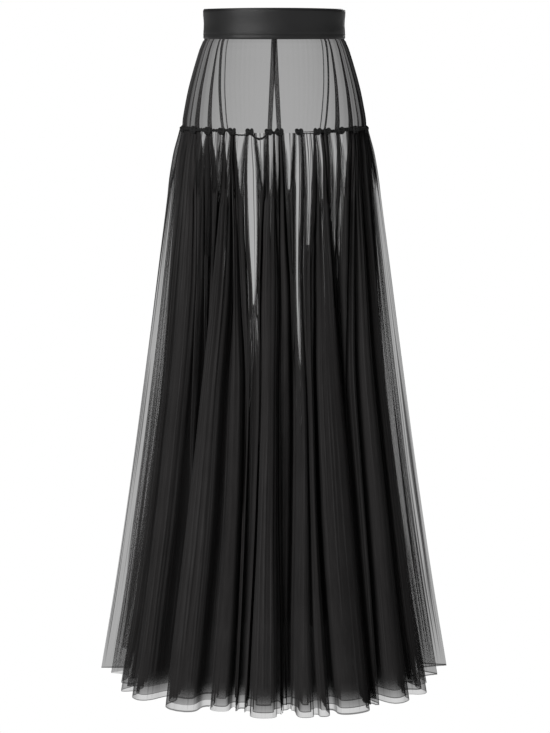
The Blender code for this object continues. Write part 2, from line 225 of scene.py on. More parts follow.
# The cloth across an opening lies in FAN_PLEATS small folds that fan out from the knots, each FAN_REACH of
# the way over and FAN_DEPTH deep, down to FAN_LENGTH below its end. An opening_curve above FAN_CURVE leaves
# no room for them.
FAN_PLEATS = 9
FAN_REACH = 0.110
FAN_DEPTH = 0.0012
FAN_LENGTH = 0.20
FAN_CURVE = 2.0


# ---- The yoke, the cord and the waistband ----

# The pleats of the yoke's front: where each leaves the waistband, the place on the cord that it runs down to,
# and half its width at either end. Each is the cloth folded back on itself, so it is three layers thick.
Pleat = namedtuple("Pleat", "band hip half_band half_hip")
FRONT_PLEATS = [Pleat(*row) for row in (
    (-84.0, -82.0, 0.0006, 0.0016),
    (-72.0, -74.0, 0.0010, 0.0044),
    (-66.0, -64.5, 0.0005, 0.0010),
    (-59.0, -55.5, 0.0012, 0.0054),
    (-49.6, -42.8, 0.0010, 0.0044),
    (-45.6, -32.2, 0.0022, 0.0026),
    (-40.4, -28.9, 0.0004, 0.0008),
    (-0.4, -2.8, 0.0040, 0.0038),
    (0.4, 3.0, 0.0040, 0.0038),
    (40.8, 28.3, 0.0004, 0.0008),
    (45.4, 31.8, 0.0016, 0.0018),
    (49.4, 41.6, 0.0012, 0.0048),
    (59.9, 54.8, 0.0012, 0.0050),
    (66.5, 65.0, 0.0005, 0.0012),
    (72.0, 74.0, 0.0010, 0.0044),
    (84.0, 82.0, 0.0006, 0.0016),
)]
PLEAT_STEP = 0.0005
YOKE_ROWS = 30
YOKE_RIPPLE = 0.0005
SIDE_SEAM = 90.0

# The yoke is tucked in behind the cord, and behind the band over BAND_TUCK_HEIGHT.
YOKE_TUCK = 0.0022
BAND_TUCK = 0.0028
BAND_TUCK_HEIGHT = 0.006

# How many columns the plain cloth has before, between and after the pleats.
YOKE_PLAIN_COLUMNS = (2, 4, 3, 3, 4, 2, 4, 24, 2, 24, 4, 2, 4, 3, 3, 4, 2)

# Where the knots on the front of the cord stand. The back's are behind them.
FRONT_KNOTS = (-75.0, -57.5, -43.6, -33.0, -25.8, -14.6, -3.2, 3.0, 14.8, 26.4, 33.2, 44.0, 58.0, 75.0)
KNOT_HALF_WIDTH = 0.0062
KNOT_HALF_HEIGHT = 0.0062
KNOT_STRAND = 0.0020
KNOT_DROP = 0.0016

# The cord between knots: from one place on the front to another, its strand's radius, how many strands are
# twisted together, how far it sags, and how far below the knots' middle it is tied.
Stretch = namedtuple("Stretch", "start end strand strands sag low")
FRONT_STRETCHES = [Stretch(*row) for row in (
    (-104.0, -75.0, 0.0015, 2, 0.0010, 0.0),
    (-75.0, -57.5, 0.0016, 2, 0.0004, 0.0),
    (-57.5, -43.6, 0.0016, 2, 0.0010, 0.0),
    (-43.6, -33.0, 0.0014, 2, 0.0008, 0.0),
    (-33.0, -25.8, 0.0014, 2, 0.0, 0.0),
    (-25.8, -14.6, 0.0007, 2, 0.0018, 0.0056),
    (-14.6, -3.2, 0.0011, 2, 0.0125, 0.0010),
    (-3.2, 3.0, 0.0015, 2, 0.0010, 0.0015),
    (14.8, 26.4, 0.0005, 1, 0.0006, 0.0014),
    (14.8, 26.4, 0.0005, 1, 0.0002, 0.0046),
    (26.4, 33.2, 0.0015, 2, 0.0, 0.0010),
    (33.2, 44.0, 0.0013, 2, 0.0006, 0.0015),
    (44.0, 58.0, 0.0015, 2, 0.0004, 0.0),
    (58.0, 75.0, 0.0016, 2, 0.0, 0.0),
)]
TWIST_LENGTH = 0.011
CORD_STEP = 0.0009

# The band's top rises by BAND_CROWN at the centre front and back. The satin is turned over its lower edge up
# to TURNING_HEIGHT, and is pulled in and out there by BAND_PULL.
BAND_COLUMNS = 180
BAND_WALL = 0.0022
BAND_ROUNDING = 0.0011
BAND_CROWN = 0.0014
BAND_PULL = 0.00018
BAND_PLAIN_HEIGHTS = (-0.0120, -0.0060, 0.0, 0.0070, 0.0140, 0.0195)
TURNING_HEIGHT = 0.0065
STITCH_LENGTH = 0.0022
STITCH_STEP = 0.0032
STITCH_RADIUS = 0.00022
STITCH_LIFT = (-0.0001, 0.0003, 0.0003, -0.0001)
STITCH_LINES = (0.0218, -0.0178)


# ---- Small helpers ----

FULL_TURN = 2.0 * math.pi


def smooth_curve(places, values, wanted):
    """Values at the wanted places, along a smooth line through the given ones that never overshoots them."""
    order = np.argsort(places)
    x = np.asarray(places, float)[order]
    y = np.asarray(values, float)[order]
    wanted = np.clip(wanted, x[0], x[-1])
    steps = np.diff(x)
    slopes = np.diff(y) / steps
    tangents = np.zeros_like(y)
    tangents[0] = slopes[0]
    tangents[-1] = slopes[-1]
    same_way = slopes[:-1] * slopes[1:] > 0.0
    both = np.where(same_way, slopes[:-1] + slopes[1:], 1.0)
    tangents[1:-1] = np.where(same_way, 2.0 * slopes[:-1] * slopes[1:] / both, 0.0)
    spot = np.clip(np.searchsorted(x, wanted) - 1, 0, len(steps) - 1)
    step = steps[spot]
    t = (wanted - x[spot]) / step
    return (
        (1.0 + 2.0 * t) * (1.0 - t) ** 2 * y[spot]
        + t * (1.0 - t) ** 2 * step * tangents[spot]
        + t * t * (3.0 - 2.0 * t) * y[spot + 1]
        + t * t * (t - 1.0) * step * tangents[spot + 1]
    )


def reach_at(z, turn):
    """How far the outline reaches at heights z: to the sides, and forwards or back, as turn faces."""
    heights = [section.z for section in OUTLINE]
    half_width, front, back = (
        smooth_curve(heights, [getattr(section, field) for section in OUTLINE], z)
        for field in ("half_width", "front", "back")
    )
    return half_width, np.where(np.cos(turn) > 0.0, front, back)


def behind(degrees):
    """The place on the back that answers to a place on the front."""
    return 180.0 - degrees * (1.0 + BACK_SPREAD * np.cos(np.radians(degrees)))


def hip_dip(degrees, share):
    """How far the hip line, and a share of it the cloth beside it, dips below level to clear the seat."""
    return BACK_DIP * share * np.maximum(0.0, -np.cos(np.radians(degrees))) ** 1.5


def ring_points(z, degrees, inset):
    """Points round the body at heights z, drawn in from the outline by inset, as an array of xyz."""
    turn = np.radians(degrees)
    half_width, depth = reach_at(z, turn)
    across = (half_width - inset) * np.sin(turn)
    return np.stack([across, -(depth - inset) * np.cos(turn), z + 0.0 * across], axis=-1)


def metres_per_degree(z, degrees):
    """How long one degree is along the outline."""
    turn = np.radians(degrees)
    half_width, depth = reach_at(z, turn)
    return np.hypot(half_width * np.cos(turn), depth * np.sin(turn)) * math.pi / 180.0


def add_object(name, data):
    """An object in the scene."""
    added = bpy.data.objects.new(name, data)
    bpy.context.scene.collection.objects.link(added)
    return added


def add_mesh(name, points, faces, material, uv=None):
    """One smooth mesh object from arrays of points and of equal-sized faces."""
    points = np.asarray(points, float).reshape(-1, 3)
    faces = np.asarray(faces, int)
    mesh = bpy.data.meshes.new(name)
    mesh.vertices.add(len(points))
    mesh.vertices.foreach_set("co", points.ravel())
    mesh.loops.add(faces.size)
    mesh.loops.foreach_set("vertex_index", faces.ravel())
    mesh.polygons.add(len(faces))
    mesh.polygons.foreach_set("loop_start", np.arange(0, faces.size, faces.shape[1]))
    mesh.update(calc_edges=True)
    mesh.polygons.foreach_set("use_smooth", np.full(len(faces), True))
    if uv is not None:
        add_uv(mesh, "cloth", uv, faces)
    mesh.materials.append(material)
    return add_object(name, mesh)


def add_uv(mesh, name, uv, faces):
    """One pair of numbers at each point, for the material to read."""
    layer = mesh.uv_layers.new(name=name)
    layer.data.foreach_set("uv", np.asarray(uv, float).reshape(-1, 2)[faces.ravel()].ravel())


def grid_faces(rows, columns, keep=None, closed=False, ring=False):
    """Squares over rows of points. closed joins each row's ends, and ring the last row to the first."""
    row, column = np.meshgrid(np.arange(rows if ring else rows - 1), np.arange(columns), indexing="ij")
    if not closed:
        row, column = row[:, :-1], column[:, :-1]
    after = (column + 1) % columns
    this_row, next_row = row * columns, (row + 1) % rows * columns
    faces = np.stack([this_row + column, next_row + column, next_row + after, this_row + after], axis=-1)
    return faces[keep] if keep is not None else faces.reshape(-1, 4)


# ---- Materials ----

# The net: how strongly its threads show, how they slant, and its cut edge, which is denser.
NET_CONTRAST = 0.12
NET_SLANT = 0.58
CUT_EDGE_WIDTH = 0.0014
CUT_EDGE_COVER = 0.80

# How far up the hem's clearness fades, how fine the creases are across and along, and the height above the
# hem over which they set in.
HEM_FADE = 0.030
CREASES = (300.0, 1.6, 1.0)
CREASE_FADE = 0.08


class Nodes:
    """Short calls for building one material's node tree."""

    def __init__(self, name):
        self.material = bpy.data.materials.new(name)
        self.material.use_nodes = True
        self.tree = self.material.node_tree
        self.shader = self.tree.nodes["Principled BSDF"]

    def add(self, kind, **inputs):
        """One shader node, with numbers or other nodes' outputs in its sockets."""
        node = self.tree.nodes.new("ShaderNode" + kind)
        for key, value in inputs.items():
            self.set(node, key, value)
        return node

    def set(self, node, key, value):
        """A socket by its name, with _ for spaces, or by its number, as i0, i1 and so on."""
        socket = node.inputs[int(key[1:]) if key[0] == "i" and key[1:].isdigit() else key.replace("_", " ")]
        if isinstance(value, bpy.types.NodeSocket):
            self.tree.links.new(value, socket)
        else:
            socket.default_value = value

    def shade(self, **inputs):
        """The shader's own sockets."""
        for key, value in inputs.items():
            self.set(self.shader, key, value)
        return self.material

    def math(self, operation, first, second=0.0, third=0.0):
        """One step of arithmetic."""
        node = self.add("Math", i0=first, i1=second, i2=third)
        node.operation = operation
        return node.outputs[0]

    def mix(self, share, low, high):
        """Between two numbers by a share."""
        return self.math("ADD", self.math("MULTIPLY", self.math("SUBTRACT", high, low), share), low)

    def uv(self, name):
        """A mesh's pairs of numbers by name."""
        node = self.add("UVMap")
        node.uv_map = name
        return node.outputs[0]

    def scaled(self, vector, scale):
        """A vector times one number in each direction."""
        node = self.add("VectorMath", i0=vector, i1=scale)
        node.operation = "MULTIPLY"
        return node.outputs[0]

    def noise(self, vector, scale, detail):
        """Smooth noise from about 0 to 1."""
        return self.add("TexNoise", Vector=vector, Scale=scale, Detail=detail).outputs[0]

    def threads(self, place, direction, scale, distortion, detail, strength, distance):
        """The bumps of fine threads that lie in one direction."""
        wave = self.add("TexWave", Vector=place, Scale=scale, Distortion=distortion, Detail=detail)
        wave.bands_direction = direction
        height = wave.outputs["Fac"]
        return self.add("Bump", Strength=strength, Distance=distance, Height=height).outputs[0]

    def tones(self, share, dark, light):
        """Between two colours by a share."""
        node = self.add("ValToRGB", Fac=share)
        node.color_ramp.elements[0].color = (*dark, 1.0)
        node.color_ramp.elements[1].color = (*light, 1.0)
        return node.outputs[0]


def thinned(nodes, up, clear, edge_clear):
    """How clear the cloth is where it thins out in streaks towards its openings, up to edge_clear there."""
    beside = nodes.add("SeparateXYZ", i0=nodes.uv("beside"))
    gap, fold = beside.outputs[0], beside.outputs[1]
    drawn = nodes.add(
        "CombineXYZ", X=nodes.math("MULTIPLY", fold, STREAKS), Y=nodes.math("MULTIPLY", up, 5.0)
    )
    streaks = nodes.noise(drawn.outputs[0], 1.0, 1.0)
    reach = nodes.add(
        "MapRange", Value=streaks, From_Min=0.40, From_Max=0.60, To_Min=0.002, To_Max=THIN_CLOTH
    )
    share = nodes.math("DIVIDE", gap, reach.outputs[0])
    dense = nodes.add("MapRange", Value=share, From_Min=0.3)
    return nodes.mix(dense.outputs[0], edge_clear, clear)


def creases(nodes, cloth, up, layers):
    """How many more layers the cloth lies in where it is creased: up to layers, in narrow lines."""
    lines = nodes.noise(nodes.scaled(cloth, CREASES), 1.0, 1.0)
    crease = nodes.add("MapRange", Value=lines, From_Min=0.56, From_Max=0.66)
    smoothed = nodes.math("MINIMUM", nodes.math("DIVIDE", up, CREASE_FADE), 1.0)
    return nodes.math("MULTIPLY", nodes.math("MULTIPLY", crease.outputs[0], smoothed), layers)


def net(nodes, across, up, pitch):
    """The net's threads and holes, as a share of its mean cover."""
    turns = FULL_TURN / pitch
    slant = nodes.math("MULTIPLY", up, NET_SLANT)
    one_way = nodes.math("SINE", nodes.math("MULTIPLY", nodes.math("ADD", across, slant), turns))
    other_way = nodes.math("SINE", nodes.math("MULTIPLY", nodes.math("SUBTRACT", across, slant), turns))
    return nodes.math("MULTIPLY_ADD", nodes.math("MULTIPLY", one_way, other_way), NET_CONTRAST, 1.0)


def make_tulle(name, color, clear, net_pitch, creased=0.0, edge_clear=None, hem_clear=None):
    """Sheer net. clear is the share of light that one flat layer lets through.

    Seen edge on it lets less through. In narrow creases it lies creased layers thicker. With edge_clear it
    thins out in streaks towards its openings, up to that share, and with hem_clear towards its hem.
    """
    nodes = Nodes(name)
    cloth = nodes.uv("cloth")
    place = nodes.add("SeparateXYZ", i0=cloth)
    across, up = place.outputs[0], place.outputs[1]

    facing = nodes.add("LayerWeight", Blend=0.5).outputs["Facing"]
    layers = nodes.math("DIVIDE", 1.0, nodes.math("MAXIMUM", nodes.math("SUBTRACT", 1.0, facing), 0.10))
    if creased:
        layers = nodes.math("ADD", layers, creases(nodes, cloth, up, creased))
    if edge_clear is not None:
        clear = thinned(nodes, up, clear, edge_clear)
    if hem_clear is not None:
        clear = nodes.mix(nodes.math("MINIMUM", nodes.math("DIVIDE", up, HEM_FADE), 1.0), hem_clear, clear)
    through = nodes.math("POWER", clear, layers)

    cover = nodes.math("MULTIPLY", nodes.math("SUBTRACT", 1.0, through), net(nodes, across, up, net_pitch))
    cut_edge = nodes.math("MULTIPLY", nodes.math("LESS_THAN", up, CUT_EDGE_WIDTH), CUT_EDGE_COVER)
    cover = nodes.math("MINIMUM", nodes.math("MAXIMUM", cover, cut_edge), 1.0)

    fine = nodes.noise(nodes.scaled(cloth, (420.0, 22.0, 1.0)), 1.0, 2.0)
    tone = nodes.math("MULTIPLY_ADD", fine, 0.7, 0.4)
    tone = nodes.math("MULTIPLY_ADD", nodes.noise(cloth, 9.0, 3.0), 0.5, tone)
    tinted = nodes.add("VectorMath", i0=color)
    tinted.operation = "SCALE"
    nodes.set(tinted, "Scale", tone)
    return nodes.shade(Alpha=cover, Base_Color=tinted.outputs[0], Roughness=0.75, Specular_IOR_Level=0.0)


def make_satin(name):
    """Black satin facing: a soft broad gloss, fine threads across it and faint cloudiness."""
    nodes = Nodes(name)
    place = nodes.add("TexCoord").outputs["Object"]
    cloudy = nodes.noise(place, 26.0, 4.0)
    return nodes.shade(
        Base_Color=nodes.tones(cloudy, (0.0065, 0.0065, 0.0068), (0.0110, 0.0110, 0.0113)),
        Roughness=nodes.math("MULTIPLY_ADD", cloudy, 0.12, 0.38),
        Specular_IOR_Level=0.25,
        Sheen_Weight=0.03,
        Normal=nodes.threads(place, "Z", 420.0, 1.5, 2.0, strength=0.25, distance=0.0003),
    )


def make_cord(name):
    """Twisted dull black cord: fuzzy strands with a fine slanting lay."""
    nodes = Nodes(name)
    place = nodes.add("TexCoord").outputs["Object"]
    return nodes.shade(
        Base_Color=nodes.tones(nodes.noise(place, 900.0, 3.0), (0.004, 0.004, 0.004), (0.016, 0.016, 0.016)),
        Roughness=0.85,
        Specular_IOR_Level=0.2,
        Normal=nodes.threads(place, "DIAGONAL", 260.0, 3.0, 3.0, strength=0.6, distance=0.0004),
    )


# ---- The gathered skirt ----


def ring_of_folds():
    """All the folds round the body, front then back, each with its valley's places at TRACK_HEIGHTS.

    A back row mirrors a front valley and the fold before it, since mirroring turns the way round about.
    """
    heights = np.array(TRACK_HEIGHTS)
    turn = smooth_curve(BACK_TURN_HEIGHTS, BACK_TURN, heights)
    folds = [fold._replace(valley=np.array(fold.valley)) for fold in FRONT_FOLDS]
    for index in reversed(range(len(FRONT_FOLDS))):
        valley = smooth_curve(heights * BACK_DROP, FRONT_FOLDS[index].valley, heights)
        shape = FRONT_FOLDS[index - 1]
        if index > 0 and abs(shape.valley[-1]) > BACK_SIDE:
            shape = shape._replace(recess=BACK_SIDE_RECESS)
        folds.append(
            shape._replace(
                valley=behind(valley) + turn,
                depth=FRONT_FOLDS[index].depth,
                opening_end=shape.opening_end * BACK_DROP if shape.opening_end is not None else None,
                opening_place=1.0 - shape.opening_place,
            )
        )
    return folds


def stand_back(degrees, depth_share):
    """Where a valley's floor stands: further round to the side than the dark line that it shows as."""
    turn = np.radians(degrees)
    sideways = np.clip((np.degrees(np.abs(np.arcsin(np.sin(turn)))) - 8.0) / 24.0, 0.0, 1.0)
    ease = sideways**2 * (3.0 - 2.0 * sideways) * np.abs(np.cos(turn)) ** 0.3
    return degrees + VALLEY_TURN * depth_share * ease * np.sign(np.sin(turn)) * np.sign(np.cos(turn))


# One fold as laid: where its columns stand across it, its width of cloth, the columns' degrees, insets and
# lift at the hem, which faces are left out as slits, and how far from an opening each point counts.
Strip = namedtuple("Strip", "t cloth degrees insets lift slits thin")


def fold_form(t, flatness):
    """Across one fold, valley to valley: the share of its width and of its depth at t from 0 to 1.

    flatness is 1 for a broad crest with steep walls and -1 for a narrow crest between broad valleys.
    """
    along = (
        t
        - flatness * CREST_SHARE * np.sin(FULL_TURN * t) / FULL_TURN
        + np.maximum(flatness, 0.0) * WALL_LEAN * np.sin(4.0 * math.pi * t) / (4.0 * math.pi)
    )
    dip = 0.5 + 0.5 * np.cos(FULL_TURN * t)
    return along, dip


def fans_out(fold):
    """Whether the cloth across a fold's opening spreads in small folds from the knots."""
    return fold.opening_end is not None and fold.opening_curve <= FAN_CURVE


def fold_columns(fold, cloth, layer):
    """Where a fold's columns stand across it, from 0 up to but not 1, with a group of them at its middle."""
    side = max(4, int(round(cloth * (0.5 - layer.crossing) / COLUMN_CLOTH)))
    middle = SLIT_COLUMNS if layer.slit else FAN_COLUMNS if fans_out(fold) else OPEN_COLUMNS
    low, high = 0.5 - layer.crossing, 0.5 + layer.crossing
    groups = ((0.0, low, side), (low, high, middle), (high, 1.0, side))
    return np.concatenate([np.linspace(*group, endpoint=False) for group in groups])


def fan_pleats(fold, z, place):
    """The small folds in the cloth across an opening, fanned out from the knots: sideways shares and depths.

    They reach further from either side lower down, and meet at the height where the opening ends.
    """
    if not fans_out(fold):
        return 0.0, 0.0
    down = (SKIRT_TOP_Z - z) / (SKIRT_TOP_Z - fold.opening_end)
    smoothed = np.clip(1.0 - (fold.opening_end - z) / FAN_LENGTH, 0.0, 1.0)[:, None]
    from_edge = 1.0 - 2.0 * np.abs(place - 0.5)
    reach = np.clip((down[:, None] * 1.15 - from_edge) / 0.25, 0.0, 1.0)
    ends = np.clip(from_edge / 0.06, 0.0, 1.0)
    turn = FULL_TURN * FAN_PLEATS * place + 9.0 * fold.opening_place + fold.valley[0]
    strength = (0.75 + 0.35 * np.sin(FULL_TURN * 1.7 * place + fold.valley[1])) * reach * ends * smoothed
    return FAN_REACH * np.sin(turn) * strength, FAN_DEPTH * np.cos(turn) * strength


def shape_fold(fold, start, end, end_depth, z, t, layer):
    """One fold of a layer, without its pleats, as (metres across, metres in), and its open share by row.

    Its crest is broad at the front and narrow at the sides. Near the cord its cloth is drawn to its valleys.
    """
    width = (end - start) * metres_per_degree(z, (start + end) / 2.0)
    depth = smooth_curve(DEPTH_HEIGHTS, DEPTHS, z)
    recess = smooth_curve(RECESS_HEIGHTS, fold.recess, z)
    flatness = 1.0 - 2.0 * np.sin(np.radians((start + end) / 2.0)) ** 6
    along, dip = fold_form(t, flatness[:, None])
    gathered = np.where(t < 0.5, 0.5 * (2.0 * t) ** GATHER_POWER, 1.0 - 0.5 * (2.0 - 2.0 * t) ** GATHER_POWER)
    formed = np.clip(depth / FORMED_DEPTH, 0.0, 1.0)[:, None]
    along = gathered + (along - gathered) * formed

    open_share = np.zeros_like(z)
    if fold.opening_end is not None:
        opening_end = fold.opening_end - layer.lower
        down = np.clip((SKIRT_TOP_Z - z) / (SKIRT_TOP_Z - opening_end), 0.0, 1.0)
        tied = 1.0 - 2.0 * min(BUNCH_HALF_WIDTH, BUNCH_SHARE * width[0]) / width[0]
        open_share = np.clip(tied, 0.0, 0.9) * (1.0 - down ** (fold.opening_curve * layer.roundness))
        widened = np.minimum(open_share + layer.wider * (1.0 - down), 0.92)
        open_share = np.where(open_share > 0.0, widened, 0.0)
    place = (fold.opening_place - 0.5) * np.clip(open_share / 0.3, 0.0, 1.0)
    along = along + place[:, None] * np.sin(math.pi * np.clip(along, 0.0, 1.0))
    across_opening = np.clip((t - 0.5 + layer.crossing) / (2.0 * layer.crossing), 0.0, 1.0)
    fan, fan_lift = fan_pleats(fold, z, across_opening)
    along = along * (1.0 - open_share[:, None]) + (across_opening + fan) * open_share[:, None]

    valley = np.where(t < 0.5, fold.depth, end_depth) * depth[:, None]
    inward = valley * dip + (recess * depth)[:, None] * (1.0 - dip) + fan_lift
    return along * width[:, None], inward, open_share


def small_pleats(fold, z, t, cloth, length, tangent_x, open_share, layer, rng):
    """How far the small pleats stand in or out across a fold, row by row."""
    pleats = max(2.0, round(cloth / PLEAT_CLOTH))
    turns = FULL_TURN * pleats
    spare = np.sqrt(np.maximum(cloth**2 - length**2, 0.0))
    height = np.minimum(spare / (4.0 * pleats), MAX_PLEAT_HEIGHT)
    phase = rng.uniform(0.0, FULL_TURN)
    wander = PLEAT_WANDER * np.sin(4.0 * math.pi * t + rng.uniform(0.0, FULL_TURN))
    wave = np.sin(turns * (t + wander) + phase)
    uneven = 0.75 + PLEAT_UNEVEN * np.sin(turns * 0.37 * t + rng.uniform(0.0, FULL_TURN))
    in_opening = 0.8 * (np.abs(t - 0.5) <= layer.crossing) * (open_share > 0.0)[:, None]
    settled = smooth_curve(SETTLE_HEIGHTS, SETTLED, z)
    height = height[:, None]
    if fold.opening_end is not None:
        from_edge = np.clip((np.abs(t - 0.5) - layer.crossing) / (0.5 - layer.crossing), 0.0, 1.0)
        margin_slope = MARGIN_SLOPE * fold.opening_curve
        soft_slope = margin_slope + (CORE_SLOPE - MARGIN_SLOPE) * from_edge**MARGIN_POWER
        past_end = np.clip((fold.opening_end - z) / MARGIN_REACH, 0.0, 1.0)
        steepest = soft_slope + CORE_SLOPE * past_end[:, None]
        height = np.minimum(height, steepest * np.abs(tangent_x) / turns)
    return height * settled[:, None] * (wave * uneven) * (1.0 - in_opening)


def lay_fold(fold, start, end, end_depth, z, down, layer, rng):
    """One fold of a layer with its pleats, as a Strip of columns."""
    args = (fold, start, end, end_depth, z)
    x, y, _ = shape_fold(*args, np.linspace(0.0, 1.0, 60), layer)
    length = np.hypot(np.diff(x, axis=1), np.diff(y, axis=1)).sum(axis=1)
    cloth = length.max() * CLOTH_EASE
    t = fold_columns(fold, cloth, layer)
    x, y, open_share = shape_fold(*args, t, layer)

    # The pleats and the layer's inset stand square to the cloth of a formed fold, and inwards elsewhere.
    tangent_x, tangent_y = np.gradient(x, t, axis=1), np.gradient(y, t, axis=1)
    size = np.hypot(tangent_x, tangent_y) + 1e-9
    hanging = np.clip(smooth_curve(DEPTH_HEIGHTS, DEPTHS, z) / FORMED_DEPTH, 0.1, 1.0)[:, None] ** 2
    sheltered = np.clip(open_share * 5.0, 0.0, 1.0)[:, None] * np.sin(math.pi * t) ** 2
    normal_x = -tangent_y / size * hanging * (1.0 - sheltered)
    normal_y = np.sqrt(1.0 - normal_x**2)
    pleat = small_pleats(fold, z, t, cloth, length, tangent_x, open_share, layer, rng)
    to_metres = metres_per_degree(z, (start + end) / 2.0)
    inset = layer.inset_top + (layer.inset_hem - layer.inset_top) * down
    inset = np.minimum(inset, 0.3 * (np.abs(end - start) * to_metres) + 0.001)[:, None]
    degrees = start[:, None] + (x + normal_x * (inset + pleat)) / to_metres[:, None]
    side = np.abs(np.sin(np.radians(degrees))) ** SIDE_POWER
    side_inset = smooth_curve(SIDE_HEIGHTS, layer.side_insets, z)
    insets = y + normal_y * (inset + pleat) + side_inset[:, None] * side + CLOTH_CLEARANCE

    middle = t + np.append(np.diff(t), 1.0 - t[-1]) / 2.0
    crosses = (np.abs(middle - 0.5) < layer.crossing) * (open_share > 0.0)[:, None]
    beside = np.maximum(np.abs(t - 0.5) - layer.crossing, 0.0) * cloth / fold.opening_curve**0.7
    end_z = fold.opening_end - layer.lower if fold.opening_end is not None else 1.0
    thin = np.hypot(beside, BELOW_SHARE * np.maximum(end_z - z, 0.0)[:, None])
    thin = thin + CLOSED * (np.abs(t - 0.5) < layer.crossing)
    lift = np.full(len(t), rng.uniform(-HEM_UNEVEN, HEM_UNEVEN))
    return Strip(t, cloth, degrees, insets, lift, crosses & layer.slit, thin)


def lay_folds(layer, folds, z, down):
    """All the folds of a layer round the body, as Strips."""
    rng = np.random.default_rng(layer.seed)
    depth_share = smooth_curve(DEPTH_HEIGHTS, DEPTHS, z) / max(DEPTHS)
    tracks = [stand_back(smooth_curve(TRACK_HEIGHTS, fold.valley, z), depth_share) for fold in folds]
    tracks.append(tracks[0] + 360.0)
    depths = [fold.depth for fold in folds] + [folds[0].depth]
    return [
        lay_fold(fold, tracks[index], tracks[index + 1], depths[index + 1], z, down, layer, rng)
        for index, fold in enumerate(folds)
    ]


def build_skirt_layer(layer, folds, material, replaced):
    """A front and a back piece of one layer of tulle, pleated where it is gathered, seamed at the sides."""
    down = np.linspace(0.0, 1.0, SKIRT_ROWS) ** ROW_CROWDING
    z = SKIRT_TOP_Z + (layer.hem_z - SKIRT_TOP_Z) * down
    strips = lay_folds(layer, folds, z, down)

    # The side seams lie in the middle of the last fold of the front and of the back.
    across, streak, seams = [], [], []
    round_cloth = 0.0
    column_count = 0
    for index, strip in enumerate(strips):
        if index in (len(FRONT_FOLDS) - 1, len(folds) - 1):
            seams.append(column_count + int(np.argmin(np.abs(strip.t - 0.5))))
        across.append(round_cloth + strip.t * strip.cloth)
        streak.append(index + strip.t)
        round_cloth += strip.cloth
        column_count += len(strip.t)
    across = np.concatenate(across)
    lift = np.concatenate([strip.lift for strip in strips])
    degrees, insets, slits, thin = (
        np.concatenate([getattr(strip, field) for strip in strips], axis=1)
        for field in ("degrees", "insets", "slits", "thin")
    )

    half_round = round_cloth / 2.0
    apart = [np.abs((across - across[seam] + half_round) % round_cloth - half_round) for seam in seams]
    at_seam = SIDE_THIN + np.maximum(np.minimum(*apart) - layer.side_span, 0.0)
    thin = np.stack(np.broadcast_arrays(np.minimum(thin, at_seam), np.concatenate(streak)), axis=-1)
    heights = z[:, None] + lift * (down**4)[:, None]
    points = ring_points(heights, degrees, insets)
    points[..., 2] -= hip_dip(degrees, np.clip(1.0 - (SKIRT_TOP_Z - heights) / DIP_FADE, 0.0, 1.0))

    pieces = []
    halves = {
        "front": np.arange(seams[1], seams[0] + column_count + 1) % column_count,
        "back": np.arange(seams[0], seams[1] + 1),
    }
    for half, columns in halves.items():
        grid = points[:, columns]
        faces = grid_faces(SKIRT_ROWS, len(columns), ~slits[:-1][:, columns[:-1]])
        run = np.unwrap(across[columns], period=round_cloth)
        uv = np.stack(np.broadcast_arrays(run, (heights - layer.hem_z)[:, columns]), axis=-1)
        piece = add_mesh(f"tulle_{layer.name}_{half}", grid, faces, material, uv)
        add_uv(piece.data, "beside", thin[:, columns], faces)
        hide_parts(f"{replaced}_{half}")
        pieces.append(piece)
    return pieces


def build_skirt(outer, under):
    """The outer layer and the two under layers, which hang as one."""
    folds = ring_of_folds()
    for layer in (OUTER, UNDER_A, UNDER_B):
        material = outer if layer is OUTER else under
        replaced = "skirt_outer" if layer is OUTER else "skirt_under"
        for piece in build_skirt_layer(layer, folds, material, replaced):
            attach(piece, "root")


# ---- The yoke ----


def yoke_columns(pleats, share):
    """The columns of half a yoke at a share of the way down, as degrees and how far each stands out."""
    z = YOKE_TOP_Z + (YOKE_BOTTOM_Z - YOKE_TOP_Z) * share
    places = [pleat.band + (pleat.hip - pleat.band) * share for pleat in pleats]
    halves = [pleat.half_band + (pleat.half_hip - pleat.half_band) * share for pleat in pleats]
    degrees, standing = [], []
    seam = math.copysign(SIDE_SEAM, places[0])
    ends = [seam, *places, seam + 180.0]
    for index, count in enumerate(YOKE_PLAIN_COLUMNS):
        start, end = ends[index], ends[index + 1]
        if index > 0:
            half = halves[index - 1] / metres_per_degree(z, start)
            across = np.linspace(-half, half, 4)
            for layer, way in enumerate((across, across[::-1], across)):
                degrees.extend(start + way)
                standing.extend(np.full(4, layer * PLEAT_STEP) + np.linspace(0.0, 0.3, 4) * PLEAT_STEP)
            start += half
        stop = end - (halves[index] / metres_per_degree(z, end) if index < len(places) else 0.0)
        way = np.linspace(0.0, 1.0, count + 2)
        way = way[0 if index == 0 else 1 : None if index == len(places) else -1]
        degrees.extend(start + (stop - start) * way)
        ripple = YOKE_RIPPLE * np.sin(9.0 * way * (index + 2.0)) * np.sin(math.pi * way)
        standing.extend(ripple + 2.0 * PLEAT_STEP * (1.0 - way) * (index > 0))
    return np.array(degrees), np.array(standing)


